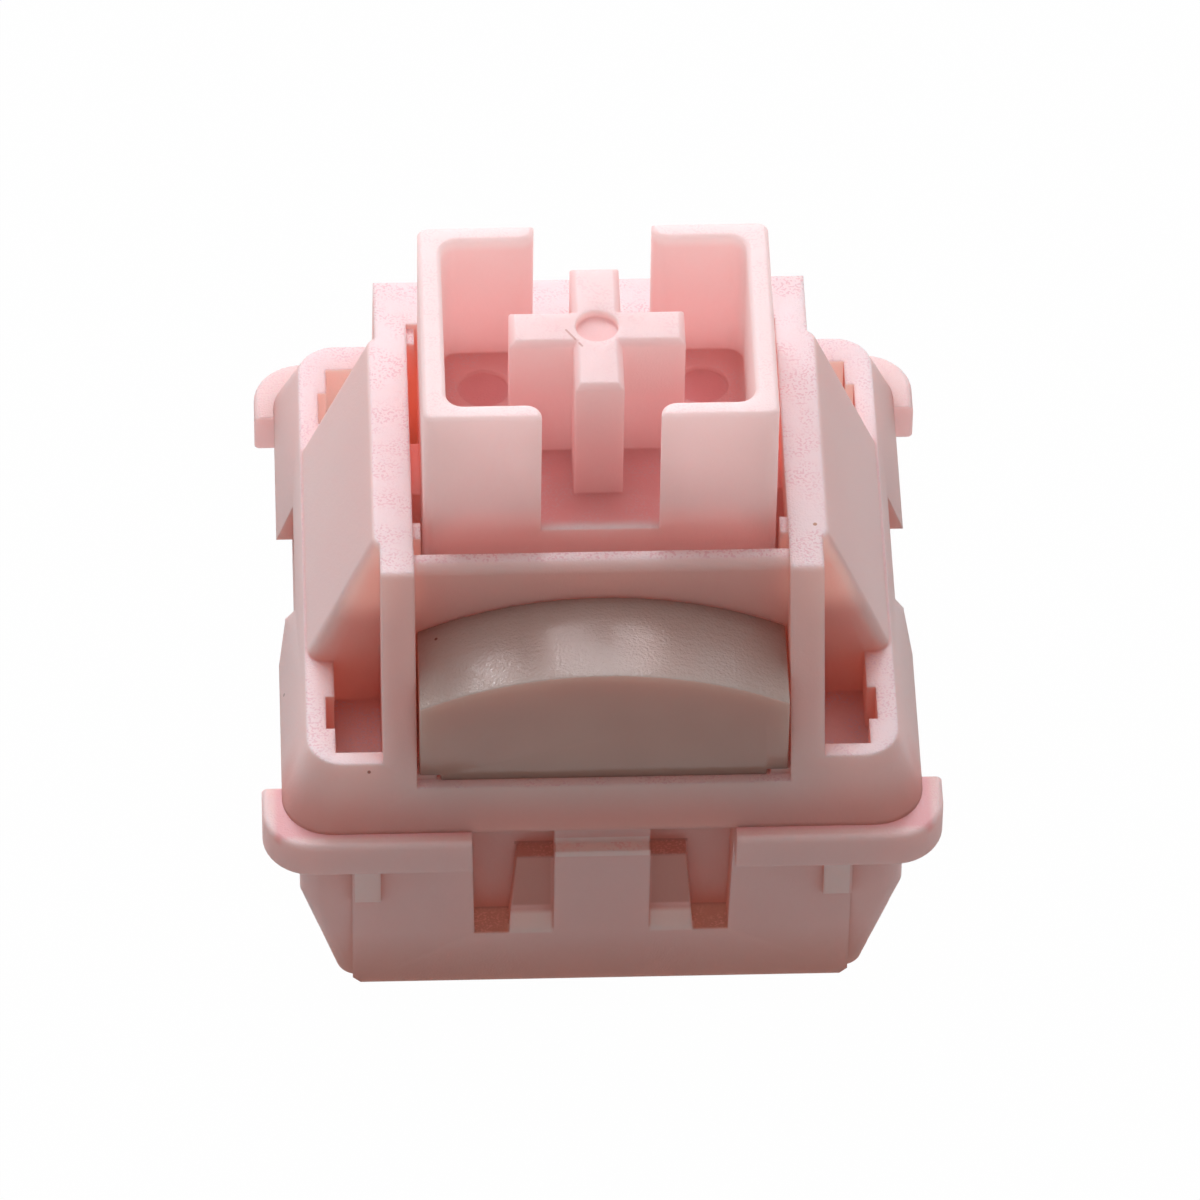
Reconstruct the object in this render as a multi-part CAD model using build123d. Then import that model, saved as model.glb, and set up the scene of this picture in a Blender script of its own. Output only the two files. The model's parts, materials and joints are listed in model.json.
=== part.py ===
from build123d import *
import os

# Magnetic keyboard switch, in millimetres.
# z is 0 at the flat underside, +Z is up, the front with the light guide is -Y.

# Mounting sizes that a plate and a keycap are made to
plate_height = 5.0
flange_width = 15.6
flange_depth = 15.6
flange_thickness = 1.0
flange_corner = 1.15
flange_edge = 0.15
flange_lower_edge = 0.12
flange_gap = 11.9
cutout = 14.0
cutout_clearance = 0.05
housing_height = 11.6
cross_width = 4.0
cross_depth = 3.9
cross_bar_x = 1.1
cross_bar_y = 1.12
travel = 3.4

# Bottom housing
bottom_floor = 1.0
bottom_straight = 2.0
body_corner = 0.5
base_half_x = 6.12
base_half_y = 6.33
corner_recess = 0.25
pad_width = 11.5
pad_lean = 0.26
pad_edge = 0.18
tongue_width = 2.2
slot_width = 1.95
slot_bottom = 1.72
slot_depth = 0.95
slot_lean = 0.12
tongue_ledge = 4.62
tongue_setback = 0.3
clip_width = 0.85
clip_lean = 0.17
clip_setback = 0.5
clip_top = 3.95
clip_toe = 0.12
clip_ramp = 0.33
rib_width = 0.65
rib_drop = 2.0
rib_bevel = 0.2
rib_proud = 0.14
lug_side_room = 0.75
cavity_half_y = 5.3
well_wall = 0.7
well_height = 2.3
led_width = 4.4
led_depth = 1.35
rail_wall = 0.45
rail_below_top = 0.1

# Top housing
skirt_setback_side = 0.46
skirt_setback_end = 0.38
skirt_corner = 1.15
rim_height = 1.64
rim_slope_side = 0.59
rim_slope_front = 0.65
rim_slope_rear = 0.77
rim_corner = 0.85
rim_wall_side = 0.65
rim_wall_front = 0.38
rim_wall_rear = 0.76
pocket_floor = 0.3
pocket_notch = 0.2
pocket_notch_length = 1.0
rear_notch_shift = 0.45
tower_front = 3.75
tower_rear = 3.05
tower_foot_x = 6.7
tower_foot_front = 3.5
tower_foot_rear = 3.5
tower_root = 0.4
tower_corner = 0.35
tower_edge = 0.12
front_rib_inset = 0.14
front_rib_width = 0.77
front_rib_reach = 4.6
front_rib_edge = 0.2
rib_root = 1.0
block_inset = 0.17
block_rear = 4.78
block_root = 0.5
roof = 1.25
bay_wall = 0.25
bay_front = 2.85
bay_rear_low = 2.4
bay_rear_high = 1.9
rear_web = 0.7
rear_roof = 1.6
rear_wall_low = 0.9
rear_wall_high = 1.5
rear_shoulder = 0.2
window_back = 4.27
window_wall = 0.42
sill_height = 1.05
sill_pad = 0.17
sill_pad_width = 0.45
sill_pad_setback = 0.05
hood_radius = 0.3
hood_drop = 0.15
skirt_notch_rear = 1.96
skirt_notch_front = 0.8
skirt_notch_height = 1.1
skirt_notch_lean = 0.55
skirt_notch_step = 0.18
skirt_lead_depth = 0.16
skirt_lead_flat = 0.3
skirt_lead_length = 1.0
latch_width = 2.0
latch_wall = 0.6
latch_drop = 2.5
latch_hook = 0.4
latch_hook_height = 0.6
latch_root = 0.5

# Stem
stem_width = 8.04
stem_depth = 6.2
stem_rise = 3.45
stem_wall_x = 0.52
stem_wall_y = 0.47
stem_corner = 0.25
box_inner_corner = 0.4
box_depth = 3.65
box_notch = 2.7
wall_end_radius = 0.36
wall_edge = 0.08
cross_below_top = 0.2
cross_edge = 0.14
dimple_radius = 0.49
dimple_depth = 0.2
ejector_radius = 0.6
ejector_depth = 0.14
ejector_x = 2.52
ejector_y = 1.5
stem_floor = 1.0
stem_skirt = 4.2
stem_skirt_wall = 0.6
lug_reach = 0.83
lug_width = 1.65
lug_length = 5.4
lug_root = 0.3
lug_toe = 0.2
lug_bevel = 0.8
pole_diameter = 3.9

# Magnet, spring and light guide
magnet_diameter = 3.0
magnet_length = 3.4
spring_wire = 0.3
spring_mean = 4.75
spring_turns = 6.5
spring_wire_sides = 6
guide_side = 9.4
guide_rise = 1.03
guide_leg_width = 4.6
guide_leg_depth = 0.75
guide_leg_drop = 4.1

# Running fits
opening_gap = 0.25
opening_gap_rear = 0.3
nub_gap = 0.07
nub_length = 0.5
nub_front_reach = 0.25
nub_below_top = 0.15
stop_gap = 0.05
lug_gap = 0.07
rail_gap = 0.1
rail_side_gap = 0.3
magnet_gap = 0.02
spring_gap = 0.22
spring_seat_gap = 0.03
guide_gap = 0.03
leg_gap = 0.1
latch_gap = 0.1
latch_side_gap = 0.05

# How far a cut runs past the material, and a rib into its neighbour
past = 1.0
bite = 0.1

# Heights and half sizes that follow
flange_top = plate_height + flange_thickness
rim_top = flange_top + rim_height
body_half = cutout / 2 - cutout_clearance
straight_bottom = plate_height - bottom_straight
corner_half_y = body_half - corner_recess
stem_top = housing_height + stem_rise
stem_half_x = stem_width / 2
stem_half_y = stem_depth / 2
box_floor = stem_top - box_depth
floor_underside = box_floor - stem_floor
cross_top = stem_top - cross_below_top
roof_underside = housing_height - roof
lug_top = roof_underside - stop_gap
pole_bottom = bottom_floor + travel + stop_gap
opening_half_x = stem_half_x + opening_gap
opening_front = window_back - window_wall
opening_rear = stem_half_y + opening_gap_rear
cavity_half_x = stem_half_x + lug_reach + lug_side_room
tower_half_x = stem_half_x + lug_reach + lug_gap + bay_wall
front_rib_outer = tower_half_x - front_rib_inset
block_half_x = tower_half_x - block_inset
window_half_x = front_rib_outer - front_rib_width
skirt_half_x = flange_width / 2 - skirt_setback_side
skirt_half_y = flange_depth / 2 - skirt_setback_end
rim_half_x = skirt_half_x - rim_slope_side
rim_front = skirt_half_y - rim_slope_front
rim_rear = skirt_half_y - rim_slope_rear
sill_top = flange_top + sill_height
well_inner = spring_mean + spring_wire + 2 * spring_gap
rail_outer = lug_width / 2 + rail_gap + rail_wall
latch_near = rail_outer + latch_gap
latch_far = latch_near + latch_width
latch_outer = cavity_half_x - latch_side_gap


def block(x_from, x_to, y_from, y_to, z_from, z_to):
    """A straight cut or rail between two corners."""
    middle = Pos((x_from + x_to) / 2, (y_from + y_to) / 2, (z_from + z_to) / 2)
    return middle * Box(abs(x_to - x_from), abs(y_to - y_from), abs(z_to - z_from))


def side_profile(points, x_from, x_to):
    """A (y, z) outline drawn out along X."""
    face = Plane.YZ.offset(x_from) * make_face(Polyline(*points, close=True))
    return extrude(face, x_to - x_from)


def front_profile(points, y_from, y_to):
    """An (x, z) outline drawn out along Y."""
    face = Plane.XZ.offset(-y_to) * make_face(Polyline(*points, close=True))
    return extrude(face, y_to - y_from)


def rectangle(x_half, y_from, y_to, z, radius=0.0):
    """A rectangle, rounded or not, at one height, for a loft."""
    place = Pos(0, (y_from + y_to) / 2, z)
    if radius > 0:
        return place * RectangleRounded(2 * x_half, y_to - y_from, radius)
    return place * Rectangle(2 * x_half, y_to - y_from)


def both_sides(shape):
    """The shape and its mirror image across the middle plane x = 0."""
    return shape + mirror(shape, about=Plane.YZ)


def both_ends(shape):
    """The shape and its mirror image across the middle plane y = 0."""
    return shape + mirror(shape, about=Plane.XZ)


def bottom_body():
    """The body under the plate: straight in the cut-out, tapered below, with a proud pad in front."""
    lower = loft([
        rectangle(base_half_x, -base_half_y, base_half_y, 0, body_corner),
        rectangle(body_half, -corner_half_y, corner_half_y, straight_bottom, body_corner),
    ])
    straight = extrude(
        rectangle(body_half, -corner_half_y, corner_half_y, straight_bottom, body_corner),
        flange_top - straight_bottom,
    )
    foot_y = base_half_y + corner_recess
    pad = side_profile(
        [(0, 0), (-foot_y, 0), (-foot_y - pad_lean, plate_height), (-foot_y - pad_lean, flange_top),
         (0, flange_top)],
        -pad_width / 2, pad_width / 2,
    )
    pad = chamfer(pad.edges().filter_by(Axis.Y).group_by(Axis.Z)[0], pad_edge)
    return lower + straight + both_ends(pad)


def flange():
    """The flange that rests on the plate, with its sides left out between the corners."""
    plate = Pos(0, 0, plate_height) * extrude(
        RectangleRounded(flange_width, flange_depth, flange_corner), flange_thickness)
    plate = fillet(plate.edges().group_by(Axis.Z)[-1], flange_edge)
    plate = fillet(plate.edges().group_by(Axis.Z)[0], flange_lower_edge)
    side = block(body_half, flange_width, -flange_gap / 2, flange_gap / 2,
                 plate_height - past, flange_top + past)
    return plate - both_sides(side)


def clip_slots():
    """The cuts beside the springy tongue in the front and rear walls, with the flange let out over it."""
    slot_outer = tongue_width / 2 + slot_width
    face_y = base_half_y + corner_recess + pad_lean
    slot = front_profile(
        [(tongue_width / 2, slot_bottom), (slot_outer - slot_lean, slot_bottom),
         (slot_outer, flange_top + past), (tongue_width / 2, flange_top + past)],
        -flange_depth, -face_y + slot_depth,
    )
    above = block(-tongue_width / 2, tongue_width / 2, -flange_depth, -face_y + tongue_setback,
                  tongue_ledge, flange_top + past)
    return both_ends(both_sides(slot) + above)


def clips():
    """The shoulders that snap under the plate, one in each slot beside the tongue."""
    face_y = base_half_y + corner_recess + pad_lean
    back = -face_y + slot_depth
    shelf = -face_y + clip_setback
    toe = -face_y + pad_lean * (1 - slot_bottom / plate_height)
    toe_top = slot_bottom + clip_toe
    outline = [(back, slot_bottom), (toe, slot_bottom), (toe, toe_top), (shelf, toe_top + clip_ramp),
               (shelf, clip_top), (back, clip_top)]
    near = tongue_width / 2
    far = near + clip_width
    clip = side_profile(outline, near, far + clip_lean) & front_profile(
        [(near, slot_bottom), (far + clip_lean, slot_bottom), (far, clip_top), (near, clip_top)], toe, back)
    return both_ends(both_sides(clip))


def centring_ribs():
    """The four small ribs under the flange that centre the body in the cut-out."""
    face_y = base_half_y + corner_recess + pad_lean
    outer = pad_width / 2
    rib = side_profile(
        [(-face_y + pad_lean, plate_height), (-face_y - rib_proud, plate_height),
         (-face_y - rib_proud, plate_height - rib_drop + rib_bevel),
         (-face_y - rib_proud + rib_bevel, plate_height - rib_drop),
         (-face_y + pad_lean, plate_height - rib_drop)],
        outer - rib_width, outer,
    )
    return both_ends(both_sides(rib))


def spring_well():
    """The round well on the floor that centres the spring."""
    ring = Cylinder(well_inner / 2 + well_wall, well_height) - Cylinder(well_inner / 2, well_height)
    return Pos(0, 0, bottom_floor + well_height / 2) * ring


def stem_rails():
    """Two upright ribs on each side wall, with the stem's lug running between them."""
    rail = block(stem_half_x + rail_side_gap, cavity_half_x, rail_outer - rail_wall, rail_outer,
                 bottom_floor, flange_top - rail_below_top)
    return both_ends(both_sides(rail))


def latch_windows():
    """The four openings in the side walls that the top housing's hooks reach into."""
    top = flange_top - latch_drop + latch_hook_height + latch_gap
    window = block(cavity_half_x, body_half + past, latch_near - latch_gap, latch_far + latch_gap,
                   flange_top - latch_drop - latch_gap, top)
    return both_ends(both_sides(window))


def make_bottom_housing():
    """The lower moulding: flange, body, clips, spring well and rails."""
    shape = bottom_body() + flange()
    shape -= clip_slots()
    shape += clips() + centring_ribs()
    cavity = block(-cavity_half_x, cavity_half_x, -cavity_half_y, cavity_half_y,
                   bottom_floor, flange_top + past)
    shape -= cavity
    shape -= latch_windows()
    shape += spring_well() + stem_rails()
    led_front = -cavity_half_y + leg_gap
    shape -= block(-led_width / 2, led_width / 2, led_front, led_front + led_depth,
                   -past, bottom_floor + past)
    return shape


def skirt_base():
    """The tapered base of the top housing, with its corner pockets let in."""
    shape = loft([
        rectangle(skirt_half_x, -skirt_half_y, skirt_half_y, flange_top, skirt_corner),
        rectangle(rim_half_x, -rim_front, rim_rear, rim_top, rim_corner),
    ])
    inner_x = rim_half_x - rim_wall_side
    floor = flange_top + pocket_floor
    front = block(front_rib_outer, inner_x, -rim_front + rim_wall_front, -tower_foot_front,
                  floor, rim_top + past)
    rear = block(block_half_x, inner_x, tower_foot_rear, rim_rear - rim_wall_rear,
                 floor, rim_top + past)
    notch_middle = (rim_front + tower_foot_front) / 2
    front_notch = block(inner_x - bite, inner_x + pocket_notch,
                        -notch_middle - pocket_notch_length / 2,
                        -notch_middle + pocket_notch_length / 2, floor, rim_top + past)
    rear_middle = (rim_rear + tower_foot_rear) / 2 - rear_notch_shift
    rear_notch = block(inner_x - bite, inner_x + pocket_notch,
                       rear_middle - pocket_notch_length / 2,
                       rear_middle + pocket_notch_length / 2, floor, rim_top + past)
    return shape - both_sides(front + rear + front_notch + rear_notch)


def side_walls():
    """The sloping walls each side of the stem, and the flat top between them."""
    spread = (tower_foot_x - tower_half_x) / (housing_height - rim_top)
    shape = loft([
        rectangle(tower_foot_x + tower_root * spread, -tower_foot_front, tower_foot_rear,
                  rim_top - tower_root),
        rectangle(tower_half_x, -tower_front, tower_rear, housing_height),
    ])
    upright = shape.edges().filter_by(lambda e: abs(e.tangent_at(0.5).Z) > 0.7)
    shape = fillet(upright, tower_corner)
    return fillet(shape.edges().group_by(Axis.Z)[-1], tower_edge)


def front_ribs():
    """The two ribs that frame the window, running down flush into the base."""
    outline = [(-tower_foot_front, rim_top - rib_root), (-rim_front + bite, rim_top - rib_root),
               (-rim_front, rim_top), (-front_rib_reach, housing_height),
               (-tower_foot_front + bite, housing_height)]
    rib = side_profile(outline, front_rib_outer - front_rib_width, front_rib_outer)
    brow = rib.edges().filter_by(Axis.X).group_by(Axis.Z)[-1].sort_by(Axis.Y)[0]
    return both_sides(fillet([brow], front_rib_edge))


def window_wall_bar():
    """The thin wall between the window and the stem, with a rounded top edge."""
    shape = block(-window_half_x, window_half_x, -window_back, -opening_front,
                  flange_top, housing_height - hood_drop)
    hood = shape.edges().group_by(Axis.Z)[-1].sort_by(Axis.Y)[0]
    return fillet([hood], hood_radius)


def rear_block():
    """The flat ledge behind the stem, left bare, with its slope down to the rear rim."""
    outline = [(tower_rear - block_root, rim_top - rib_root), (tower_rear - block_root, housing_height),
               (block_rear, housing_height), (rim_rear, rim_top), (rim_rear - bite, rim_top - rib_root)]
    return side_profile(outline, -block_half_x, block_half_x)


def opening_nubs():
    """The four small nubs in the opening that steady the stem."""
    reach = stem_half_x + nub_gap
    top = housing_height - nub_below_top
    front_y = -stem_half_y - nub_front_reach
    front = block(reach, opening_half_x, front_y, front_y + nub_length, roof_underside, top)
    rear = block(reach, opening_half_x, opening_rear - nub_length, opening_rear, roof_underside, top)
    return both_sides(front + rear)


def latches():
    """The four hooked legs that hold the top housing in the bottom one."""
    leg_bottom = flange_top - latch_drop
    hook_top = leg_bottom + latch_hook_height
    leg_top = flange_top + latch_root
    inner = latch_outer - latch_wall
    outline = [(inner, leg_top), (inner, leg_bottom), (latch_outer, leg_bottom),
               (latch_outer + latch_hook, hook_top), (latch_outer, hook_top), (latch_outer, leg_top)]
    leg = front_profile(outline, latch_near, latch_far)
    return both_ends(both_sides(leg))


def inner_space():
    """What is hollow in the top housing: the stem's opening, its side bays and the rear bay."""
    passage = block(-opening_half_x, opening_half_x, -opening_front, opening_rear,
                    flange_top - past, housing_height + past)
    bays = loft([
        rectangle(cavity_half_x, -bay_front, bay_rear_low, flange_top),
        rectangle(tower_half_x - bay_wall, -bay_front, bay_rear_high, roof_underside),
    ])
    web = opening_rear + rear_web
    half = block_half_x - rear_wall_low
    rear_bay = side_profile(
        [(web, flange_top - past), (web, roof_underside - rear_roof),
         (rim_rear - rear_wall_high, rim_top - rear_shoulder), (rim_rear - rear_wall_low, flange_top - past)],
        -half, half,
    )
    return passage + bays + rear_bay


def skirt_cutouts():
    """The gap in each side skirt, between the front and rear corners."""
    inner = rim_half_x + skirt_notch_step
    outline = [(skirt_notch_rear, flange_top - past), (skirt_notch_rear, flange_top + skirt_notch_height),
               (-skirt_notch_front - skirt_notch_lean, flange_top + skirt_notch_height),
               (-skirt_notch_front, flange_top), (-skirt_notch_front, flange_top - past)]
    return both_sides(side_profile(outline, inner, skirt_half_x + past))


def skirt_lead_ins():
    """The shallow cut behind each front skirt corner, ramping out to the full width."""
    start = -skirt_notch_front
    ramp = start - skirt_lead_flat
    inner = skirt_half_x - skirt_lead_depth
    outline = Polyline((inner, start + skirt_notch_lean), (inner, ramp),
                       (skirt_half_x, ramp - skirt_lead_length),
                       (skirt_half_x + past, ramp - skirt_lead_length),
                       (skirt_half_x + past, start + skirt_notch_lean), close=True)
    return both_sides(Pos(0, 0, flange_top - past) * extrude(make_face(outline), 2 * past))


def make_top_housing():
    """The upper moulding: base, side walls, window frame, rear ledge and latches."""
    shape = skirt_base() + side_walls() + front_ribs() + rear_block()
    shape -= block(-window_half_x, window_half_x, -skirt_half_y - past, -opening_front,
                   sill_top, housing_height + past)
    shape += window_wall_bar()
    pad = block(window_half_x - sill_pad_width, window_half_x, -rim_front + sill_pad_setback,
                -window_back, sill_top, sill_top + sill_pad)
    shape += both_sides(pad)
    shape -= inner_space()
    leg_front = -cavity_half_y + leg_gap
    shape -= block(-guide_leg_width / 2 - guide_gap, guide_leg_width / 2 + guide_gap,
                   leg_front - guide_gap, leg_front + guide_leg_depth + guide_gap,
                   flange_top - past, sill_top + past)
    shape -= skirt_cutouts() + skirt_lead_ins()
    shape += latches() + opening_nubs()
    return shape


def stem_box():
    """The four-walled box round the cross, open in the middle of its front and rear walls."""
    outer = Pos(0, 0, floor_underside) * extrude(
        RectangleRounded(stem_width, stem_depth, stem_corner), stem_top - floor_underside)
    inner = Pos(0, 0, box_floor) * extrude(
        RectangleRounded(stem_width - 2 * stem_wall_x, stem_depth - 2 * stem_wall_y,
                         box_inner_corner), box_depth + past)
    notch = block(-box_notch / 2, box_notch / 2, -stem_depth, stem_depth, box_floor, stem_top + past)
    shape = outer - inner - notch
    inner_y = stem_half_y - stem_wall_y
    wall_ends = [e for e in shape.edges().filter_by(Axis.Z)
                 if abs(abs(e.center().X) - box_notch / 2) < 0.01
                 and abs(abs(e.center().Y) - inner_y) < 0.01]
    shape = fillet(wall_ends, wall_end_radius)
    top_edges = shape.edges().group_by(Axis.Z)[-1]
    return chamfer(top_edges, wall_edge)


def keycap_cross():
    """The cross that the keycap presses onto, with the round gate recess in its middle."""
    height = cross_top - box_floor
    place = Pos(0, 0, box_floor + height / 2)
    cross = place * Box(cross_width, cross_bar_x, height) + place * Box(cross_bar_y, cross_depth, height)
    top_edges = cross.edges().group_by(Axis.Z)[-1]
    cross = chamfer(top_edges, cross_edge)
    dimple = Pos(0, 0, cross_top) * Cylinder(dimple_radius, 2 * dimple_depth)
    return cross - dimple


def stem_foot():
    """The part inside the housing: skirt, side lugs and the pole that carries the magnet."""
    skirt_bottom = box_floor - stem_skirt
    skirt = Pos(0, 0, skirt_bottom) * extrude(
        RectangleRounded(stem_width, stem_depth, stem_corner)
        - Rectangle(stem_width - 2 * stem_skirt_wall, stem_depth - 2 * stem_skirt_wall),
        floor_underside - skirt_bottom)
    lug_bottom = lug_top - lug_length
    lug = front_profile(
        [(stem_half_x - lug_root, lug_top), (stem_half_x + lug_reach, lug_top),
         (stem_half_x + lug_reach, lug_bottom), (stem_half_x + lug_toe, lug_bottom),
         (stem_half_x - lug_root, lug_bottom + lug_bevel)],
        -lug_width / 2, lug_width / 2,
    )
    pole_length = floor_underside - pole_bottom
    pole = Pos(0, 0, pole_bottom + pole_length / 2) * Cylinder(pole_diameter / 2, pole_length)
    bore = Pos(0, 0, pole_bottom + magnet_length / 2) * Cylinder(
        magnet_diameter / 2 + magnet_gap, magnet_length)
    return skirt + both_sides(lug) + (pole - bore)


def make_stem():
    """The plunger: box and cross above, skirt, lugs and pole below."""
    shape = stem_box() + keycap_cross() + stem_foot()
    mark = Pos(ejector_x, ejector_y, box_floor) * Cylinder(ejector_radius, 2 * ejector_depth)
    return shape - both_sides(mark)


def make_magnet():
    """The small round magnet in the end of the pole."""
    return Pos(0, 0, pole_bottom + magnet_length / 2) * Cylinder(magnet_diameter / 2, magnet_length)


def make_return_spring():
    """The coil spring between the floor of the well and the underside of the stem."""
    low = bottom_floor + spring_wire / 2 + spring_seat_gap
    high = floor_underside - spring_wire / 2 - spring_seat_gap
    rise = high - low
    path = Pos(0, 0, low) * Helix(pitch=rise / spring_turns, height=rise, radius=spring_mean / 2)
    start = Plane(origin=path @ 0, z_dir=path % 0)
    return sweep(start * RegularPolygon(spring_wire / 2, spring_wire_sides), path=path, is_frenet=True)


def make_light_guide():
    """The clear guide in the window, with its arched top and the leg down to the lamp."""
    half = window_half_x - 2 * guide_gap
    bottom = sill_top
    sides = Polyline((-half, guide_side), (-half, bottom), (half, bottom), (half, guide_side))
    arch = ThreePointArc((half, guide_side), (0, guide_side + guide_rise), (-half, guide_side))
    face = Plane.XZ.offset(window_back + guide_gap) * make_face(sides + arch)
    shape = extrude(face, rim_front - window_back - guide_gap)
    pad = block(half - sill_pad_width - guide_gap, half + past, -rim_front - past, 0,
                bottom - past, bottom + sill_pad)
    shape -= both_sides(pad)
    leg_front = -cavity_half_y + leg_gap
    leg = block(-guide_leg_width / 2, guide_leg_width / 2, leg_front, leg_front + guide_leg_depth,
                bottom - guide_leg_drop, bottom)
    return shape + leg


pieces = {
    "bottom_housing": make_bottom_housing(),
    "top_housing": make_top_housing(),
    "stem": make_stem(),
    "magnet": make_magnet(),
    "return_spring": make_return_spring(),
    "light_guide": make_light_guide(),
}

os.makedirs("parts", exist_ok=True)
for name, shape in pieces.items():
    export_step(shape, f"parts/{name}.step")
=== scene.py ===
"""The looks of a magnetic keyboard switch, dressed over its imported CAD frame."""

import json
import math
from collections import namedtuple
from dataclasses import dataclass, field

import bmesh
import bpy
from mathutils import Matrix, Vector


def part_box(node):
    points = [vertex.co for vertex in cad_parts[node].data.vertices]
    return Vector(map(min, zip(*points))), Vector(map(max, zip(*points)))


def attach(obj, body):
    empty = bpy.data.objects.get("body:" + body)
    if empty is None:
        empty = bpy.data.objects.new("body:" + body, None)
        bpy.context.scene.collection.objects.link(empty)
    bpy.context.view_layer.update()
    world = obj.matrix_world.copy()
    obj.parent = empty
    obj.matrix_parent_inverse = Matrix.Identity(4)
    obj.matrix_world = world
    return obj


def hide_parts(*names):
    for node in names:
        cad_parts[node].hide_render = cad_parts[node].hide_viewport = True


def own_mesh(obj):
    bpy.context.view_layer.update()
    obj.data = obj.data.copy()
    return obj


MM = 0.001
SIDES = (-1, 1)
BLACK = (0.0, 0.0, 0.0, 1.0)
WHITE = (1.0, 1.0, 1.0, 1.0)

# Camera, fitted to the photograph: it looks at a point in the object, in millimetres
CAMERA_TARGET = (0.117, -1.085, 6.959)
CAMERA_DISTANCE = 258.72
CAMERA_ELEVATION = 46.332
CAMERA_YAW = 2.714
CAMERA_ROLL = 0.929
CAMERA_LENS = 335.23
CAMERA_SENSOR = 36.0
CAMERA_NEAR = 10.0
CAMERA_FAR = 10000.0

# Samples of the daylight and of the soft edges that a point of the surface takes
SURFACE_SAMPLES = 2

# Rounding of the moulded edges, in millimetres, and the least angle that counts as an edge
HOUSING_EDGE = 0.07
STEM_EDGE = 0.05
GUIDE_EDGE = 0.04
MAGNET_EDGE = 0.12
EDGE_SEGMENTS = 3
SHARP_ANGLE = 32.0
FLAT_ANGLE = 0.4
WELD = 1e-4

# Return spring: wire in millimetres, turns, and the share of its length left at the end of travel
SPRING_WIRE = 0.3
SPRING_ACTIVE_TURNS = 5.5
SPRING_END_TURNS = 1.0
SPRING_EASE_TURNS = 0.5
SPRING_STEPS = 40
SPRING_SIDES = 14
SPRING_SHARP_ANGLE = 60

# Grain of the moulded faces, in grains to the millimetre, and the depth of its relief
CLOUD_GRAINS = 0.35
CLUSTER_GRAINS = 1.4
PIT_GRAINS = 17.0
FINE_GRAINS = 22.0
COARSE_GRAINS = 6.0
RELIEF_DEPTH = 0.03

# How much of the relief each face gets: fine grain on level faces, the least of it on all, and coarse
LEVEL_SHARE = 0.8
LEAST_SHARE = 0.3
COARSE_SHARE = 0.4

# Where a share starts and where it is full
LEVEL_FACES = (0.85, 0.97)
FORWARD_FACES = (-0.25, -0.85)
BURIED_DAYLIGHT = (0.2, 0.6)
OPEN_DAYLIGHT = 0.96
CLUSTERS = (0.36, 0.62)
PITS = (0.54, 0.63)

# Soft part of a spot's or a seep's radius, and the hard part of a scratch's half width
SPOT_SOFT = 0.4
SEEP_SOFT = 0.6
SCRATCH_CORE = 0.3

# Borders of the places counted as open to daylight, in millimetres, and how open the middle is
TOP_BORDER = 1.0
MIDDLE_BORDER = 0.3
MIDDLE_SHARE = 0.85

# Colours of the pink plastic: outer faces, the level ones painted paler and cooler for the light from
# above; painted shade for closed-in places; light thrown on others; light let through
PINK = (0.95, 0.78, 0.79, 1.0)
LIT_LEVEL_PINK = (0.97, 0.84, 0.87, 1.0)
SIDE_PINK = (0.965, 0.79, 0.78, 1.0)
CLOUD_PINK = (0.96, 0.9, 0.91, 1.0)
TOP_HOLLOW_SHADE = (0.92, 0.36, 0.31, 1.0)
BOTTOM_HOLLOW_SHADE = (0.62, 0.33, 0.29, 1.0)
PINK_BOUNCE = (0.92, 0.65, 0.64, 1.0)
PINK_GLOW = (1.0, 0.5, 0.36, 1.0)
STEM_PINK = (0.95, 0.84, 0.85, 1.0)
STEM_HOLLOW_SHADE = (0.85, 0.42, 0.39, 1.0)
STEM_BOUNCE = (0.93, 0.68, 0.67, 1.0)
STEM_GLOW = (1.0, 0.88, 0.86, 1.0)
PIT_SHADE = (0.85, 0.62, 0.68)

# Colours of single places: painted light, painted shade, the ejector marks, and real dirt, rust and a
# scratch
PAINTED_LIGHT = (1.0, 0.95, 0.97, 1.0)
SHADE_BROWN = (0.42, 0.24, 0.22, 1.0)
SHADE_UMBER = (0.5, 0.29, 0.26, 1.0)
FLANGE_CREASE_SHADE = (0.8, 0.4, 0.44, 1.0)
SKIRT_CREASE_SHADE = (0.84, 0.45, 0.42, 1.0)
BOX_FLOOR_SHADE = (1.0, 0.36, 0.37, 1.0)
STEM_FOOT_SHADE = (0.7, 0.33, 0.31, 1.0)
EJECTOR_ROSE = (0.85, 0.22, 0.24, 1.0)
DIRT = (0.12, 0.04, 0.03, 1.0)
GUIDE_DIRT = (0.25, 0.12, 0.1, 1.0)
RUST = (0.45, 0.22, 0.12, 1.0)
SCRATCH_BROWN = (0.45, 0.2, 0.17, 1.0)

# Light guide: colours, with its top painted darker and greyer as shade, grains to the millimetre, and
# shares of its relief
GUIDE_DEEP = (0.69, 0.38, 0.32, 1.0)
GUIDE_MILK = (0.77, 0.47, 0.40, 1.0)
GUIDE_TOP_SHADE = (0.5, 0.4, 0.36, 1.0)
GUIDE_TOP_FACES = (0.5, 0.8)
GUIDE_TOP_SHARE = 0.7
GUIDE_CLOUD_GRAINS = 0.5
GUIDE_FINE_GRAINS = 13.0
GUIDE_BROAD_GRAINS = 2.2
GUIDE_RIDGES = 1.3
GUIDE_FINE_ON_TOP = 1.4
GUIDE_FINE_ON_SIDES = 0.15
GUIDE_RIDGE_SHARE = 0.14
GUIDE_BROAD_SHARE = 0.5
GUIDE_SOFT_EDGE = 0.05

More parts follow.
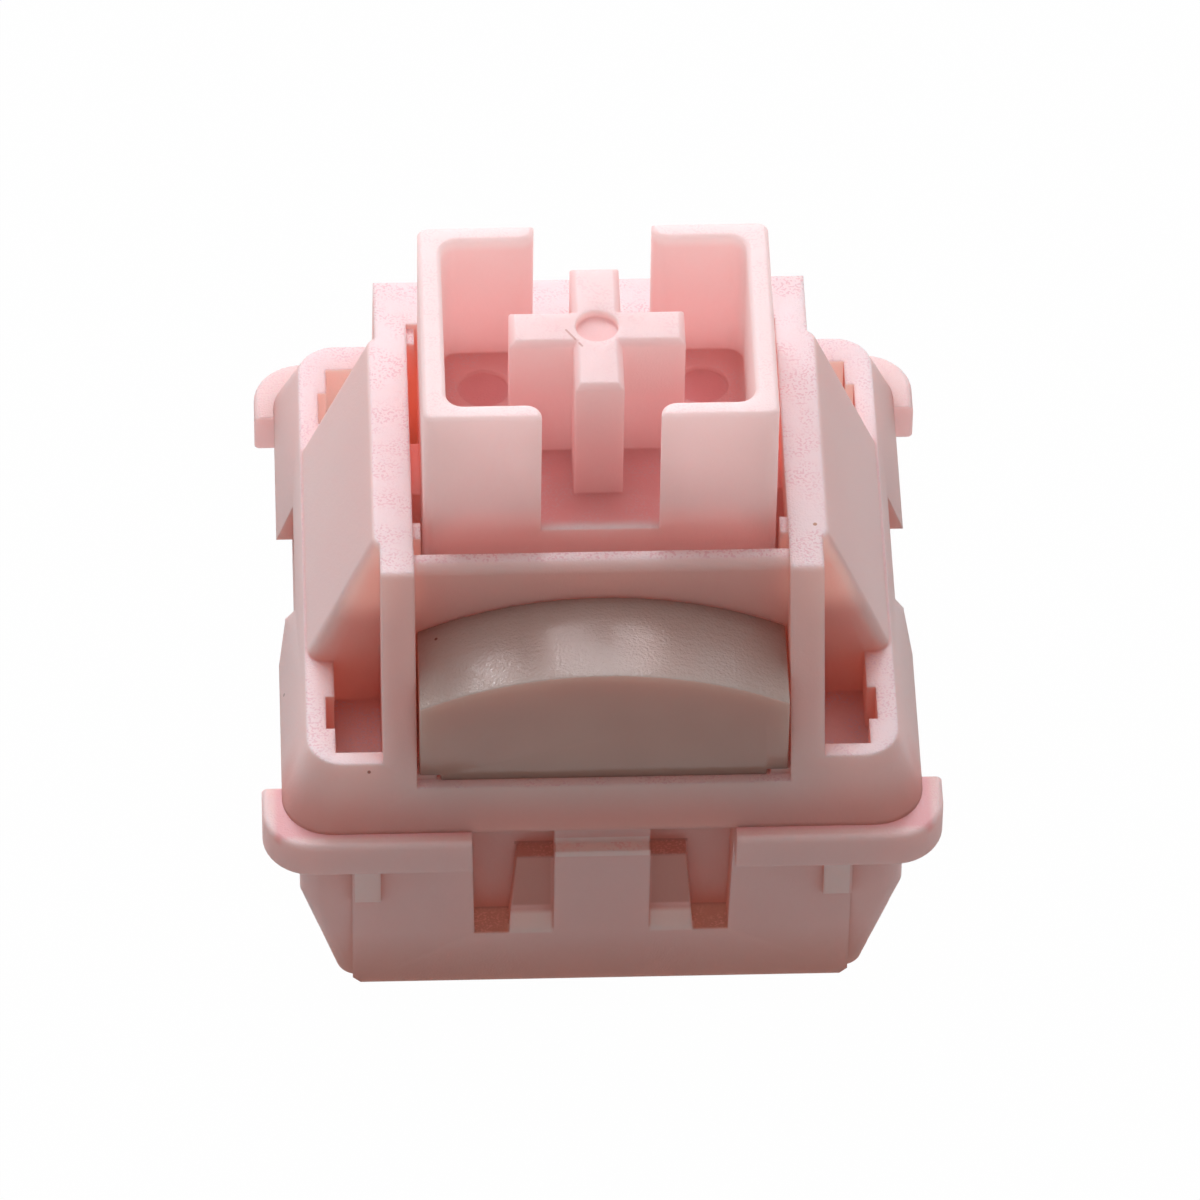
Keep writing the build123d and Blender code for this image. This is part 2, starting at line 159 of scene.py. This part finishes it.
# Metals: colours, roughness, drawing marks to the millimetre and their depth, and how marks vary
NICKEL = (0.72, 0.7, 0.67, 1.0)
NICKEL_ROUGHNESS = 0.22
NICKEL_MARKS = 6.0
STEEL = (0.62, 0.62, 0.63, 1.0)
STEEL_ROUGHNESS = 0.28
STEEL_MARKS = 12.0
MARK_DEPTH = 0.01
MARK_SHADE = 0.85
MARK_SMOOTHER = 0.8
MARK_ROUGHER = 1.2

# Studio: lamps with place and size in millimetres, and the surround
Lamp = namedtuple("Lamp", "name place size power colour")
LAMPS = [
    Lamp("overhead", (0, 170, 290), 400, 0.95, (0.86, 0.94, 1.0)),
    Lamp("sheen", (0, 280, 300), 80, 0.42, (0.95, 0.96, 1.0)),
    Lamp("side_sheen", (-180, 280, 230), 80, 0.4, (0.97, 0.97, 1.0)),
]
LAMP_TARGET = (0, 0, 7)
SURROUND_COLOUR = (1.0, 0.9, 0.83, 1.0)
SURROUND_STRENGTH = 0.28
FLOOR_COLOUR = (0.4, 0.39, 0.38, 1.0)
FLOOR_WHITE_SHARE = 0.992
FLOOR_HALF = 1500.0


# Places on the moulded pieces, in millimetres; painted light and shade, the stem box's painted shade and
# the painted glows lie the same on both sides

Tint = namedtuple("Tint", "centre half soft colour")
Spot = namedtuple("Spot", "point radius colour")
Scratch = namedtuple("Scratch", "start end half_width colour")
Seep = namedtuple("Seep", "point radius light deep")
BoxShade = namedtuple("BoxShade", "centre half soft full_below none_above colour light")

# Painted light and shade on the bottom housing: pale on the tongue's ledge, a clip's ramp and a pad;
# umber and brown shade on a clip and in its slot; rose shade along the flange's crease
BOTTOM_PAINTED_LIGHT_AND_SHADE = [
    Tint((0.0, -6.75, 4.62), (1.1, 0.3, 0.2), 0.05, PAINTED_LIGHT),
    Tint((1.6, -6.34, 3.35), (0.5, 0.25, 1.1), 0.1, SHADE_UMBER),
    Tint((1.55, -6.1, 3.95), (0.46, 0.5, 0.06), 0.02, SHADE_BROWN),
    Tint((2.55, -6.18, 1.72), (0.7, 0.46, 0.06), 0.02, SHADE_BROWN),
    Tint((1.64, -6.7, 1.95), (0.55, 0.36, 0.3), 0.1, PAINTED_LIGHT),
    Tint((5.38, -6.98, 4.0), (0.33, 0.1, 1.0), 0.03, PAINTED_LIGHT),
    Tint((0.0, -5.0, 6.0), (7.6, 2.6, 0.3), 0.2, FLANGE_CREASE_SHADE),
]
# Painted shade: the skirt's front turns rose towards its crease with the flange
TOP_PAINTED_SHADE = [Tint((0.0, -7.0, 6.0), (8.2, 2.0, 1.25), 1.1, SKIRT_CREASE_SHADE)]
# Painted shade: rose on the floor of the stem's box and at the foot of the stem's front
STEM_PAINTED_SHADE = [
    Tint((0.0, 0.6, 12.2), (3.6, 2.4, 1.4), 0.9, BOX_FLOOR_SHADE),
    Tint((0.0, -3.15, 10.45), (4.6, 0.5, 0.75), 0.5, STEM_FOOT_SHADE),
]
# Painted shade and a faint painted glow inside the stem's box, deeper red towards its floor
STEM_BOX_SHADE = BoxShade((0.0, 0.0, 12.9), (3.6, 3.05, 2.05), 0.3, 12.2, 17.0,
                     (0.84, 0.28, 0.28, 1.0), (0.03, 0.0, 0.0, 1.0))

# Painted glows: emission for light coming through thin walls into the stem's gap, onto the rear wall, the
# ears, a pocket and the stem's foot
STEM_GAP = Seep((4.1, 1.5, 9.3), 3.4, (0.45, 0.035, 0.02, 1.0), True)
REAR_WALL = Seep((6.0, 5.9, 7.0), 2.0, (0.26, 0.26, 0.23, 1.0), False)
EAR = Seep((7.5, 5.95, 5.5), 1.6, (0.24, 0.19, 0.2, 1.0), False)
POCKET = Seep((5.4, -3.6, 10.7), 1.8, (0.19, 0.11, 0.09, 1.0), False)
STEM_FOOT = [Seep((x, -3.1, 10.9), 1.5, (0.08, 0.01, 0.006, 1.0), False) for x in (0.3, 1.5, 2.7)]

EJECTOR_MARKS = [Spot((side * 2.52, 1.5, 11.26), 0.74, EJECTOR_ROSE) for side in SIDES]
SPECKS = [
    Spot((-7.24, -3.28, 6.28), 0.05, DIRT),
    Spot((-5.35, -6.84, 7.46), 0.05, DIRT),
    Spot((4.88, -3.25, 11.6), 0.06, RUST),
]
GUIDE_SPECK = Spot((-3.78, -4.74, 9.61), 0.05, GUIDE_DIRT)
CROSS_SCRATCH = Scratch((-0.71, -0.12, 14.85), (-0.36, -0.64, 14.85), 0.035, SCRATCH_BROWN)


@dataclass
class Moulding:
    """The looks of one moulded piece: colours, shares from 0 to 1, and lengths in millimetres."""

    level: tuple
    side: tuple
    hollow_shade: tuple
    bounce: tuple
    glow_colour: tuple
    glow: float
    grain: float
    soft_edge: float
    reach: float
    closed_daylight: float
    open_above: float
    open_within: float = 0.0
    box_shade: BoxShade = None
    painted_tints: list = field(default_factory=list)
    seeps: list = field(default_factory=list)
    spots: list = field(default_factory=list)
    scratches: list = field(default_factory=list)


BOTTOM_LOOK = Moulding(
    level=PINK, side=PINK, hollow_shade=BOTTOM_HOLLOW_SHADE, bounce=PINK_BOUNCE, glow_colour=PINK_GLOW,
    glow=0.27, grain=0.6, soft_edge=0.11, reach=1.8, closed_daylight=0.5, open_above=20.0,
    painted_tints=BOTTOM_PAINTED_LIGHT_AND_SHADE, seeps=[EAR])
TOP_LOOK = Moulding(
    level=LIT_LEVEL_PINK, side=SIDE_PINK, hollow_shade=TOP_HOLLOW_SHADE, bounce=PINK_BOUNCE, glow_colour=PINK_GLOW,
    glow=0.27, grain=1.0, soft_edge=0.11, reach=1.8, closed_daylight=0.25, open_above=11.4,
    open_within=4.75, painted_tints=TOP_PAINTED_SHADE, seeps=[STEM_GAP, REAR_WALL, POCKET], spots=SPECKS)
STEM_LOOK = Moulding(
    level=STEM_PINK, side=STEM_PINK, hollow_shade=STEM_HOLLOW_SHADE, bounce=STEM_BOUNCE, glow_colour=STEM_GLOW,
    glow=0.45, grain=0.5, soft_edge=0.05, reach=1.1, closed_daylight=0.5, open_above=14.9,
    box_shade=STEM_BOX_SHADE, painted_tints=STEM_PAINTED_SHADE, seeps=[STEM_GAP] + STEM_FOOT, spots=EJECTOR_MARKS,
    scratches=[CROSS_SCRATCH])


def in_metres(lengths):
    """Lengths in millimetres as lengths in metres."""
    return tuple(length * MM for length in lengths)


def add_object(name, data):
    """A new object in the scene that holds the mesh, lamp or camera."""
    thing = bpy.data.objects.new(name, data)
    bpy.context.scene.collection.objects.link(thing)
    return thing


# Camera


def add_camera():
    """The camera at the photograph's viewing angle."""
    elevation = math.radians(CAMERA_ELEVATION)
    yaw = math.radians(CAMERA_YAW)
    roll = math.radians(CAMERA_ROLL)
    back = Vector((-math.sin(yaw) * math.cos(elevation),
                   -math.cos(yaw) * math.cos(elevation), math.sin(elevation)))
    level = Vector((math.cos(yaw), -math.sin(yaw), 0))
    up = back.cross(level)
    right = math.cos(roll) * level + math.sin(roll) * up
    up = back.cross(right)
    data = bpy.data.cameras.new("camera")
    data.lens = CAMERA_LENS
    data.sensor_width = CAMERA_SENSOR
    data.clip_start = CAMERA_NEAR * MM
    data.clip_end = CAMERA_FAR * MM
    camera = add_object("camera", data)
    turn = Matrix((right, up, back)).transposed().to_4x4()
    place = (Vector(CAMERA_TARGET) + back * CAMERA_DISTANCE) * MM
    camera.matrix_world = Matrix.Translation(place) @ turn
    bpy.context.scene.camera = camera


# Nodes of a material or of the surround


class Nodes:
    """A short way to write a node tree."""

    def __init__(self, owner, output="OutputMaterial"):
        owner.use_nodes = True
        self.owner = owner
        self.tree = owner.node_tree
        self.tree.nodes.clear()
        self.output = self.add(output)

    def fill(self, socket, value):
        """Gives a socket a value or a link."""
        if isinstance(value, bpy.types.NodeSocket):
            self.tree.links.new(value, socket)
        else:
            socket.default_value = value

    def add(self, kind, inputs=None, **settings):
        """Adds a node, sets its properties and fills its sockets."""
        node = self.tree.nodes.new("ShaderNode" + kind)
        for key, value in settings.items():
            setattr(node, key, value)
        for key, value in (inputs or {}).items():
            self.fill(node.inputs[key], value)
        return node

    def math(self, operation, a, b=0.0):
        """The result of one sum."""
        return self.add("Math", {0: a, 1: b}, operation=operation).outputs[0]

    def vector(self, operation, a, b=(0.0, 0.0, 0.0)):
        """The vector result of one sum with vectors."""
        return self.add("VectorMath", {0: a, 1: b}, operation=operation).outputs["Vector"]

    def noise(self, where, per_mm, detail=2.0, roughness=0.5):
        """Noise with a given number of grains to the millimetre."""
        node = self.add("TexNoise", {"Vector": where, "Scale": per_mm / MM, "Detail": detail,
                                     "Roughness": roughness})
        return node.outputs["Fac"]

    def ramp(self, value, low, high):
        """Value as 0 at low, 1 at high, and smooth between."""
        node = self.add("MapRange", {"Value": value, "From Min": low, "From Max": high},
                        interpolation_type="SMOOTHSTEP")
        return node.outputs["Result"]

    def rescale(self, value, low, high, to_low, to_high):
        """Value between low and high as a value between two others."""
        node = self.add("MapRange", {"Value": value, "From Min": low, "From Max": high,
                                     "To Min": to_low, "To Max": to_high})
        return node.outputs["Result"]

    def mix(self, share, first, second, blend_type="MIX"):
        """One colour turning into another."""
        node = self.add("Mix", data_type="RGBA", blend_type=blend_type)
        self.fill(node.inputs["Factor"], share)
        self.fill(node.inputs["A"], first)
        self.fill(node.inputs["B"], second)
        return node.outputs["Result"]

    def blend(self, share, first, second):
        """One shader turning into another."""
        return self.add("MixShader", {0: share, 1: first, 2: second}).outputs[0]

    def near(self, where, point, radius, soft=SPOT_SOFT):
        """1 within the radius of a point given in millimetres, and 0 away from it."""
        gap = self.add("VectorMath", {0: where, 1: in_metres(point)},
                       operation="DISTANCE").outputs["Value"]
        away = self.ramp(gap, radius * MM * (1 - soft), radius * MM)
        return self.math("SUBTRACT", 1.0, away)

    def within(self, where, centre, half, soft):
        """1 inside a box given by its centre and half sizes in millimetres, and 0 outside it."""
        offset = self.vector("ABSOLUTE", self.vector("SUBTRACT", where, in_metres(centre)))
        inner = tuple(length - soft for length in half)
        shares = self.add("MapRange", {6: offset, 7: in_metres(half), 8: in_metres(inner)},
                          data_type="FLOAT_VECTOR", interpolation_type="SMOOTHSTEP")
        x, y, z = self.add("SeparateXYZ", {0: shares.outputs["Vector"]}).outputs
        return self.math("MULTIPLY", self.math("MULTIPLY", x, y), z)

    def relief(self, height, strength, depth, soft_edge=None):
        """The normal of a surface with fine relief, over edges rounded by soft_edge if it is given."""
        inputs = {"Height": height, "Strength": strength, "Distance": depth * MM}
        if soft_edge:
            inputs["Normal"] = self.add("Bevel", {"Radius": soft_edge * MM},
                                        samples=SURFACE_SAMPLES).outputs[0]
        return self.add("Bump", inputs).outputs["Normal"]

    def finish(self, shader):
        """Joins the shader to the output and gives back the material or surround."""
        self.tree.links.new(shader, self.output.inputs["Surface"])
        return self.owner


def new_material(name):
    """The nodes of a new material."""
    return Nodes(bpy.data.materials.new(name))


def where_on(nodes):
    """The place on the object, in its own coordinates."""
    return nodes.add("TexCoord").outputs["Object"]


def facing(nodes, axis, low, high):
    """1 on faces whose normal along an axis is at high, 0 where it is at low."""
    normal = nodes.add("NewGeometry").outputs["Normal"]
    return nodes.ramp(nodes.add("SeparateXYZ", {0: normal}).outputs[axis], low, high)


def seen_as_white(nodes):
    """1 for the camera and for what mirrors or clear pieces show of the background."""
    path = nodes.add("LightPath").outputs
    sharp = nodes.math("MAXIMUM", path["Is Glossy Ray"], path["Is Transmission Ray"])
    return nodes.math("MAXIMUM", path["Is Camera Ray"], sharp)


def with_spots(nodes, colour, where, spots):
    """Small round marks over a colour."""
    for spot in spots:
        colour = nodes.mix(nodes.near(where, spot.point, spot.radius), colour, spot.colour)
    return colour


def with_scratch(nodes, colour, where, scratch):
    """A fine dark scratch over a colour."""
    first = Vector(scratch.start) * MM
    run = Vector(scratch.end) * MM - first
    reach = nodes.vector("SUBTRACT", where, first[:])
    along = nodes.add("VectorMath", {0: reach, 1: (run / run.length_squared)[:]},
                      operation="DOT_PRODUCT").outputs["Value"]
    along = nodes.math("MAXIMUM", nodes.math("MINIMUM", along, 1.0), 0.0)
    foot = nodes.add("VectorMath", {0: run[:], "Scale": along}, operation="SCALE").outputs["Vector"]
    gap = nodes.add("VectorMath", {0: reach, 1: foot}, operation="DISTANCE").outputs["Value"]
    width = scratch.half_width * MM
    share = nodes.math("SUBTRACT", 1.0, nodes.ramp(gap, width * SCRATCH_CORE, width))
    return nodes.mix(share, colour, scratch.colour)


# Moulded plastic


class Plastic:
    """The parts of one moulded piece's material, which share their places on the surface."""

    def __init__(self, name, look):
        self.look = look
        self.nodes = nodes = new_material(name)
        self.where = where_on(nodes)
        x, y, self.height = nodes.add("SeparateXYZ", {0: self.where}).outputs
        self.aside = nodes.math("ABSOLUTE", x)
        self.either_side = nodes.add("CombineXYZ", {0: self.aside, 1: y, 2: self.height}).outputs[0]
        self.level = facing(nodes, "Z", *LEVEL_FACES)
        self.grain = nodes.math("MULTIPLY", self.level, LEVEL_SHARE * look.grain)
        self.fine = nodes.noise(self.where, FINE_GRAINS, 0.0)
        self.daylight = nodes.add("AmbientOcclusion", {"Distance": look.reach * MM},
                                  samples=SURFACE_SAMPLES).outputs["AO"]
        self.box_shaded = self.box_shade() if look.box_shade else None

    def box_shade(self):
        """1 low inside the stem's box, where painted shade and a faint painted glow stand in for the
        walls throwing their colour on each other.
        """
        box_shade = self.look.box_shade
        inside = self.nodes.within(self.either_side, box_shade.centre, box_shade.half, box_shade.soft)
        low = self.nodes.ramp(self.height, box_shade.none_above * MM, box_shade.full_below * MM)
        return self.nodes.math("MULTIPLY", inside, low)

    def openness(self):
        """1 where daylight reaches the surface, 0 in closed-in places."""
        nodes = self.nodes
        look = self.look
        top = look.open_above
        lifted = nodes.ramp(self.height, (top - TOP_BORDER) * MM, top * MM)
        if look.open_within:
            outer = look.open_within + MIDDLE_BORDER
            inner = look.open_within - MIDDLE_BORDER
            middle = nodes.ramp(self.aside, outer * MM, inner * MM)
            lifted = nodes.math("MAXIMUM", lifted, nodes.math("MULTIPLY", middle, MIDDLE_SHARE))
        clear = nodes.ramp(self.daylight, look.closed_daylight, OPEN_DAYLIGHT)
        return nodes.math("MAXIMUM", clear, lifted)

    def tone(self):
        """The colour of the surface, with its clouds, painted light on level faces, painted shade in
        closed-in places, painted light and shade in single places, pits and marks.
        """
        nodes = self.nodes
        look = self.look
        # Painted light: level faces take the level colour, paler and cooler where a look gives them their
        # own
        tone = nodes.mix(self.level, look.side, look.level)
        clouds = nodes.noise(self.where, CLOUD_GRAINS, 1.0)
        tone = nodes.mix(clouds, tone, CLOUD_PINK, blend_type="MULTIPLY")
        # Painted shade: closed-in places, found by their daylight and height, turn to the darker, redder
        # hollow colour
        tone = nodes.mix(self.openness(), look.hollow_shade, tone)
        # Painted shade: low in the stem's box the walls turn deeper red
        if look.box_shade:
            tone = nodes.mix(self.box_shaded, tone, look.box_shade.colour)
        # Painted light and shade in single places
        for tint in look.painted_tints:
            inside = nodes.within(self.either_side, tint.centre, tint.half, tint.soft)
            tone = nodes.mix(inside, tone, tint.colour)
        clusters = nodes.ramp(nodes.noise(self.where, CLUSTER_GRAINS, 1.0), *CLUSTERS)
        pits = nodes.ramp(nodes.noise(self.where, PIT_GRAINS, 0.0), *PITS)
        pitted = nodes.math("MULTIPLY", nodes.math("MULTIPLY", pits, clusters), self.grain)
        pit_colour = tuple(part * shade for part, shade in zip(look.level, PIT_SHADE)) + (1.0,)
        tone = nodes.mix(pitted, tone, pit_colour)
        tone = with_spots(nodes, tone, self.where, look.spots)
        for scratch in look.scratches:
            tone = with_scratch(nodes, tone, self.where, scratch)
        return tone

    def bump(self):
        """The fine relief of the surface over softly rounded edges."""
        nodes = self.nodes
        coarse = nodes.noise(self.where, COARSE_GRAINS, 1.0)
        fine_share = nodes.math("ADD", self.grain, LEAST_SHARE)
        relief = nodes.math("ADD", nodes.math("MULTIPLY", self.fine, fine_share),
                            nodes.math("MULTIPLY", coarse, COARSE_SHARE))
        return nodes.relief(relief, 0.35, RELIEF_DEPTH, self.look.soft_edge)

    def painted_glow(self):
        """Painted glow: emission that stands in for the light coming through thin walls."""
        nodes = self.nodes
        buried = nodes.math("SUBTRACT", 1.0, nodes.ramp(self.daylight, *BURIED_DAYLIGHT))
        forward = facing(nodes, "Y", *FORWARD_FACES)
        light = BLACK
        for seep in self.look.seeps:
            close = nodes.near(self.either_side, seep.point, seep.radius, SEEP_SOFT)
            share = nodes.math("MULTIPLY", close, buried if seep.deep else forward)
            light = nodes.mix(share, light, seep.light)
        if self.look.box_shade:
            light = nodes.mix(self.box_shaded, light, self.look.box_shade.light)
        return nodes.add("Emission", {"Color": light, "Strength": 1.0}).outputs[0]

    def material(self):
        """The camera sees the full plastic, and other rays meet a plain one of the same colour."""
        nodes = self.nodes
        look = self.look
        bump = self.bump()
        solid = nodes.add("BsdfPrincipled", {
            "Base Color": self.tone(), "Normal": bump,
            "Roughness": nodes.rescale(self.fine, 0.3, 0.7, 0.42, 0.56),
            "IOR": 1.48, "Specular IOR Level": 0.9,
            "Subsurface Weight": 0.6, "Subsurface Radius": (1.0, 0.75, 0.7),
            "Subsurface Scale": 0.6 * MM,
        }).outputs[0]
        through = nodes.add("BsdfTranslucent", {"Color": look.glow_colour, "Normal": bump}).outputs[0]
        lit = nodes.blend(look.glow, solid, through)
        full = nodes.add("AddShader", {0: lit, 1: self.painted_glow()}).outputs[0]
        matte = nodes.add("BsdfDiffuse", {"Color": look.bounce}).outputs[0]
        past = nodes.add("BsdfTranslucent", {"Color": look.glow_colour}).outputs[0]
        plain = nodes.blend(look.glow, matte, past)
        seen = nodes.add("LightPath").outputs["Is Camera Ray"]
        return nodes.finish(nodes.blend(seen, plain, full))


# Other materials


def milky_guide(name):
    """Frosted translucent plastic of the light guide, grained and finely ridged on its arched top."""
    nodes = new_material(name)
    where = where_on(nodes)
    top = facing(nodes, "Z", *GUIDE_TOP_FACES)
    tone = nodes.mix(nodes.noise(where, GUIDE_CLOUD_GRAINS, 1.0), GUIDE_DEEP, GUIDE_MILK)
    # Painted shade: the top faces turn darker and greyer
    tone = nodes.mix(nodes.math("MULTIPLY", top, GUIDE_TOP_SHARE), tone, GUIDE_TOP_SHADE)
    tone = with_spots(nodes, tone, where, [GUIDE_SPECK])
    fine = nodes.noise(where, GUIDE_FINE_GRAINS, 2.0, 0.6)
    fine_share = nodes.math("ADD", nodes.math("MULTIPLY", top, GUIDE_FINE_ON_TOP), GUIDE_FINE_ON_SIDES)
    ridges = nodes.add("TexWave", {"Vector": where, "Scale": GUIDE_RIDGES / MM, "Distortion": 4.0,
                                   "Detail Scale": 2.0}, bands_direction="Y").outputs["Fac"]
    ridge_share = nodes.math("MULTIPLY", top, GUIDE_RIDGE_SHARE)
    height = nodes.math("ADD", nodes.math("MULTIPLY", fine, fine_share),
                        nodes.math("MULTIPLY", ridges, ridge_share))
    broad = nodes.noise(where, GUIDE_BROAD_GRAINS, 2.0)
    height = nodes.math("ADD", height, nodes.math("MULTIPLY", broad, GUIDE_BROAD_SHARE))
    bump = nodes.relief(height, 0.5, RELIEF_DEPTH, GUIDE_SOFT_EDGE)
    shader = nodes.add("BsdfPrincipled", {
        "Base Color": tone, "Roughness": 0.18, "Normal": bump, "IOR": 1.49,
        "Subsurface Weight": 0.8, "Subsurface Radius": (1.0, 0.8, 0.75),
        "Subsurface Scale": 1.6 * MM, "Transmission Weight": 0.2,
    }).outputs[0]
    return nodes.finish(shader)


def drawn_steel(name, colour, roughness, per_mm):
    """Bright metal with fine drawing marks."""
    nodes = new_material(name)
    marks = nodes.noise(where_on(nodes), per_mm, 3.0)
    darker = tuple(part * MARK_SHADE for part in colour[:3]) + (1.0,)
    shader = nodes.add("BsdfPrincipled", {
        "Base Color": nodes.mix(marks, darker, colour), "Metallic": 1.0,
        "Normal": nodes.relief(marks, 0.15, MARK_DEPTH),
        "Roughness": nodes.rescale(marks, 0.0, 1.0, roughness * MARK_SMOOTHER, roughness * MARK_ROUGHER),
    }).outputs[0]
    return nodes.finish(shader)


def white_floor(name):
    """A pale floor that the camera sees as white, with a trace of the object's shadow."""
    nodes = new_material(name)
    matte = nodes.add("BsdfDiffuse", {"Color": FLOOR_COLOUR}).outputs[0]
    white = nodes.add("Emission", {"Color": WHITE, "Strength": 1.0}).outputs[0]
    share = nodes.math("MULTIPLY", seen_as_white(nodes), FLOOR_WHITE_SHARE)
    return nodes.finish(nodes.blend(share, matte, white))


# Pieces


def moulded(node, edge, material):
    """A copy of a CAD node with its sharp edges rounded as a mould leaves them."""
    shape = bmesh.new()
    shape.from_mesh(frame["nodes"][node].data)
    bmesh.ops.remove_doubles(shape, verts=shape.verts, dist=WELD * MM)
    bmesh.ops.dissolve_limit(shape, angle_limit=math.radians(FLAT_ANGLE), verts=shape.verts,
                             edges=shape.edges)
    sharp = [e for e in shape.edges
             if len(e.link_faces) == 2 and e.calc_face_angle(0) > math.radians(SHARP_ANGLE)]
    bmesh.ops.bevel(shape, geom=sharp, offset=edge * MM, offset_type="OFFSET",
                    segments=EDGE_SEGMENTS, profile=0.5, affect="EDGES", clamp_overlap=True,
                    miter_outer="ARC")
    index = {v: i for i, v in enumerate(shape.verts)}
    faces = [[index[v] for v in face.verts] for face in shape.faces]
    mesh = bpy.data.meshes.new(node + "_moulded")
    mesh.from_pydata([v.co[:] for v in shape.verts], [], faces)
    shape.free()
    mesh.validate()
    mesh.materials.append(material)
    piece = add_object(node + "_moulded", mesh)
    mesh.shade_smooth()
    mesh.set_sharp_from_angle(angle=math.radians(SHARP_ANGLE))
    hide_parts(node)
    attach(piece, body_of[node])


def outward_at(step):
    """The level direction from the spring's axis to its wire, after a number of steps."""
    angle = 2 * math.pi * step / SPRING_STEPS
    return Vector((math.cos(angle), math.sin(angle), 0))


def spring_heights(bottom, top):
    """The heights of the wire's centre, step by step, with closed turns at both ends."""
    wire = SPRING_WIRE * MM
    turns = SPRING_ACTIVE_TURNS + 2 * SPRING_END_TURNS
    rise = (top - bottom - 2 * SPRING_END_TURNS * wire) / SPRING_ACTIVE_TURNS
    heights = [bottom]
    for step in range(round(turns * SPRING_STEPS)):
        turn = step / SPRING_STEPS
        past_end = min(turn, turns - turn) - SPRING_END_TURNS
        share = min(1.0, max(0.0, (past_end + SPRING_EASE_TURNS / 2) / SPRING_EASE_TURNS))
        pitch = wire + (rise - wire) * share * share * (3 - 2 * share)
        heights.append(heights[-1] + pitch / SPRING_STEPS)
    stretch = (top - bottom) / (heights[-1] - bottom)
    return [bottom + (height - bottom) * stretch for height in heights]


def coil_spring(material):
    """The return spring, with a closed turn at each end."""
    low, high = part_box("return_spring")
    half_wire = SPRING_WIRE * MM / 2
    radius = (high.x - low.x) / 2 - half_wire
    up = Vector((0, 0, 1))
    around = [2 * math.pi * k / SPRING_SIDES for k in range(SPRING_SIDES)]
    vertices = []
    for step, height in enumerate(spring_heights(low.z + half_wire, high.z - half_wire)):
        outward = outward_at(step)
        centre = radius * outward + height * up
        vertices += [centre + half_wire * (math.cos(a) * outward + math.sin(a) * up) for a in around]
    faces = []
    last = len(vertices) - SPRING_SIDES
    for here in range(0, last, SPRING_SIDES):
        above = here + SPRING_SIDES
        for k in range(SPRING_SIDES):
            after = (k + 1) % SPRING_SIDES
            faces.append((here + k, above + k, above + after, here + after))
    faces.append(tuple(range(SPRING_SIDES)))
    faces.append(tuple(reversed(range(last, last + SPRING_SIDES))))
    mesh = bpy.data.meshes.new("return_spring_coil")
    mesh.from_pydata(vertices, [], faces)
    mesh.materials.append(material)
    mesh.shade_smooth()
    mesh.set_sharp_from_angle(angle=math.radians(SPRING_SHARP_ANGLE))
    piece = add_object("return_spring_coil", mesh)
    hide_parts("return_spring")
    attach(piece, body_of["return_spring"])
    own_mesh(piece)


# Floor and light


def add_floor():
    """A level floor under the object."""
    half = FLOOR_HALF * MM
    mesh = bpy.data.meshes.new("floor")
    corners = [(-half, -half, 0), (half, -half, 0), (half, half, 0), (-half, half, 0)]
    mesh.from_pydata(corners, [], [(0, 1, 2, 3)])
    mesh.materials.append(white_floor("floor_white"))
    floor = add_object("floor", mesh)


def add_lamp(lamp):
    """A soft square lamp that looks at the object."""
    data = bpy.data.lights.new(lamp.name, "AREA")
    data.size = lamp.size * MM
    data.energy = lamp.power
    data.color = lamp.colour
    light = add_object(lamp.name, data)
    light.location = Vector(lamp.place) * MM
    light.rotation_mode = "QUATERNION"
    light.rotation_quaternion = (Vector(LAMP_TARGET) * MM - light.location).to_track_quat("-Z", "Y")


def add_surround():
    """A plain studio surround: white to the camera, dim to the object."""
    nodes = Nodes(bpy.data.worlds.new("studio"), "OutputWorld")
    dim = nodes.add("Background", {"Color": SURROUND_COLOUR, "Strength": SURROUND_STRENGTH}).outputs[0]
    white = nodes.add("Background", {"Color": WHITE, "Strength": 1.0}).outputs[0]
    bpy.context.scene.world = nodes.finish(nodes.blend(seen_as_white(nodes), dim, white))


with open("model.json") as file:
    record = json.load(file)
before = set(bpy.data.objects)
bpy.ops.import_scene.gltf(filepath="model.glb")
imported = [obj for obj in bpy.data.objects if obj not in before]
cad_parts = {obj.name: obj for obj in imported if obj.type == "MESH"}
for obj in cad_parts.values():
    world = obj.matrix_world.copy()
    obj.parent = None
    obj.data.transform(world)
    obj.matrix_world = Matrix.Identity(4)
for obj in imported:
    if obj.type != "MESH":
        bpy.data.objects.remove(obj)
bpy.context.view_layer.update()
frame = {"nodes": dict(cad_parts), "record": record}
body_of = {node: body for body, nodes in frame["record"]["behaviour"]["bodies"].items() for node in nodes}

moulded("bottom_housing", HOUSING_EDGE, Plastic("bottom_housing_pink", BOTTOM_LOOK).material())
moulded("top_housing", HOUSING_EDGE, Plastic("top_housing_pink", TOP_LOOK).material())
moulded("stem", STEM_EDGE, Plastic("stem_pink", STEM_LOOK).material())
moulded("light_guide", GUIDE_EDGE, milky_guide("guide_milky"))
moulded("magnet", MAGNET_EDGE, drawn_steel("magnet_nickel", NICKEL, NICKEL_ROUGHNESS, NICKEL_MARKS))
coil_spring(drawn_steel("spring_steel", STEEL, STEEL_ROUGHNESS, STEEL_MARKS))

add_camera()
add_floor()
add_surround()
for lamp in LAMPS:
    add_lamp(lamp)
bpy.context.scene.view_settings.view_transform = "Standard"
